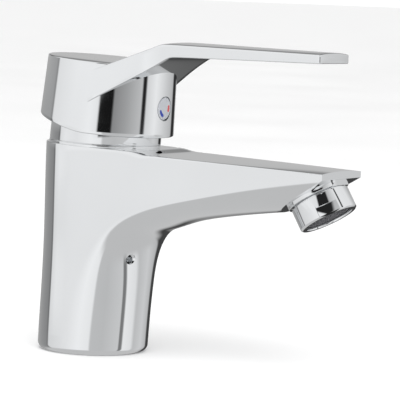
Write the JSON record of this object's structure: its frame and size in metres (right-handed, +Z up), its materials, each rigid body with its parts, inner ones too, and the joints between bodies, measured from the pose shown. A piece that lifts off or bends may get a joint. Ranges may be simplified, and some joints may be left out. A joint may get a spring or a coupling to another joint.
{
  "type": "bathroom mixer faucet",
  "caption": "Single-lever basin mixer: round column, flat-topped spout with aerator, lever cap that lifts for flow and turns for temperature.",
  "frame": {"origin": "centre of the round base, on the surface it stands on", "axes": "+Z up, the spout points towards -Y, +X to the right seen from the spout's side looking back"},
  "size_m": [0.0586, 0.1509, 0.1359],
  "materials": {
    "chrome": "polished chrome plate on cast brass",
    "brass": "machined",
    "steel": "turned and ground",
    "screen_steel": "woven wire",
    "cartridge_plastic": "moulded",
    "carrier_plastic": "moulded",
    "stop_plastic": "moulded",
    "disc_ceramic": "lapped",
    "rubber": "matt",
    "button_grey": "satin",
    "mark_blue": "satin",
    "mark_red": "satin",
    "aerator_plastic": "moulded"
  },
  "bodies": {
    "body": {"faucet_body": "chrome", "base_gasket": "rubber", "cover_ring": "chrome", "neck_o_ring": "rubber", "retaining_nut": "brass", "cartridge_housing": "cartridge_plastic", "guide_o_ring": "rubber", "temperature_stop_ring": "stop_plastic", "cartridge_base": "cartridge_plastic", "cold_inlet_seal": "rubber", "hot_inlet_seal": "rubber", "outlet_seal": "rubber", "fixed_ceramic_disc": "disc_ceramic", "aerator_collar": "chrome", "aerator_washer": "rubber", "aerator_basket": "aerator_plastic", "aerator_screen": "screen_steel", "stream_former": "aerator_plastic"},
    "mixer": {"rotary_guide": "cartridge_plastic", "pivot_pin": "steel"},
    "lever": {"handle": "chrome", "spindle": "steel", "spindle_sleeve": "carrier_plastic", "grub_screw": "steel", "indicator_plug": "button_grey", "cold_mark": "mark_blue", "hot_mark": "mark_red"},
    "disc": {"disc_carrier": "carrier_plastic", "moving_ceramic_disc": "disc_ceramic"}
  },
  "joints": [
    {"name": "temperature", "type": "hinge", "parent": "body", "child": "mixer", "pos_m": [0, -0.0027, 0.0892], "axis": [0, -0.0732, 0.9973], "range_deg": [-45, 45]},
    {"name": "flow", "type": "hinge", "parent": "mixer", "child": "lever", "pos_m": [0, -0.00336, 0.09818], "axis": [-1, 0, 0], "range_deg": [0, 25]},
    {"name": "disc_slide", "type": "slide", "parent": "mixer", "child": "disc", "axis": [0, -0.9973, -0.0732], "range_m": [0, 0.0052]}
  ],
  "couplings": [
    {"joint": "disc_slide", "follows": "flow", "m_per_rad": 0.01162}
  ]
}
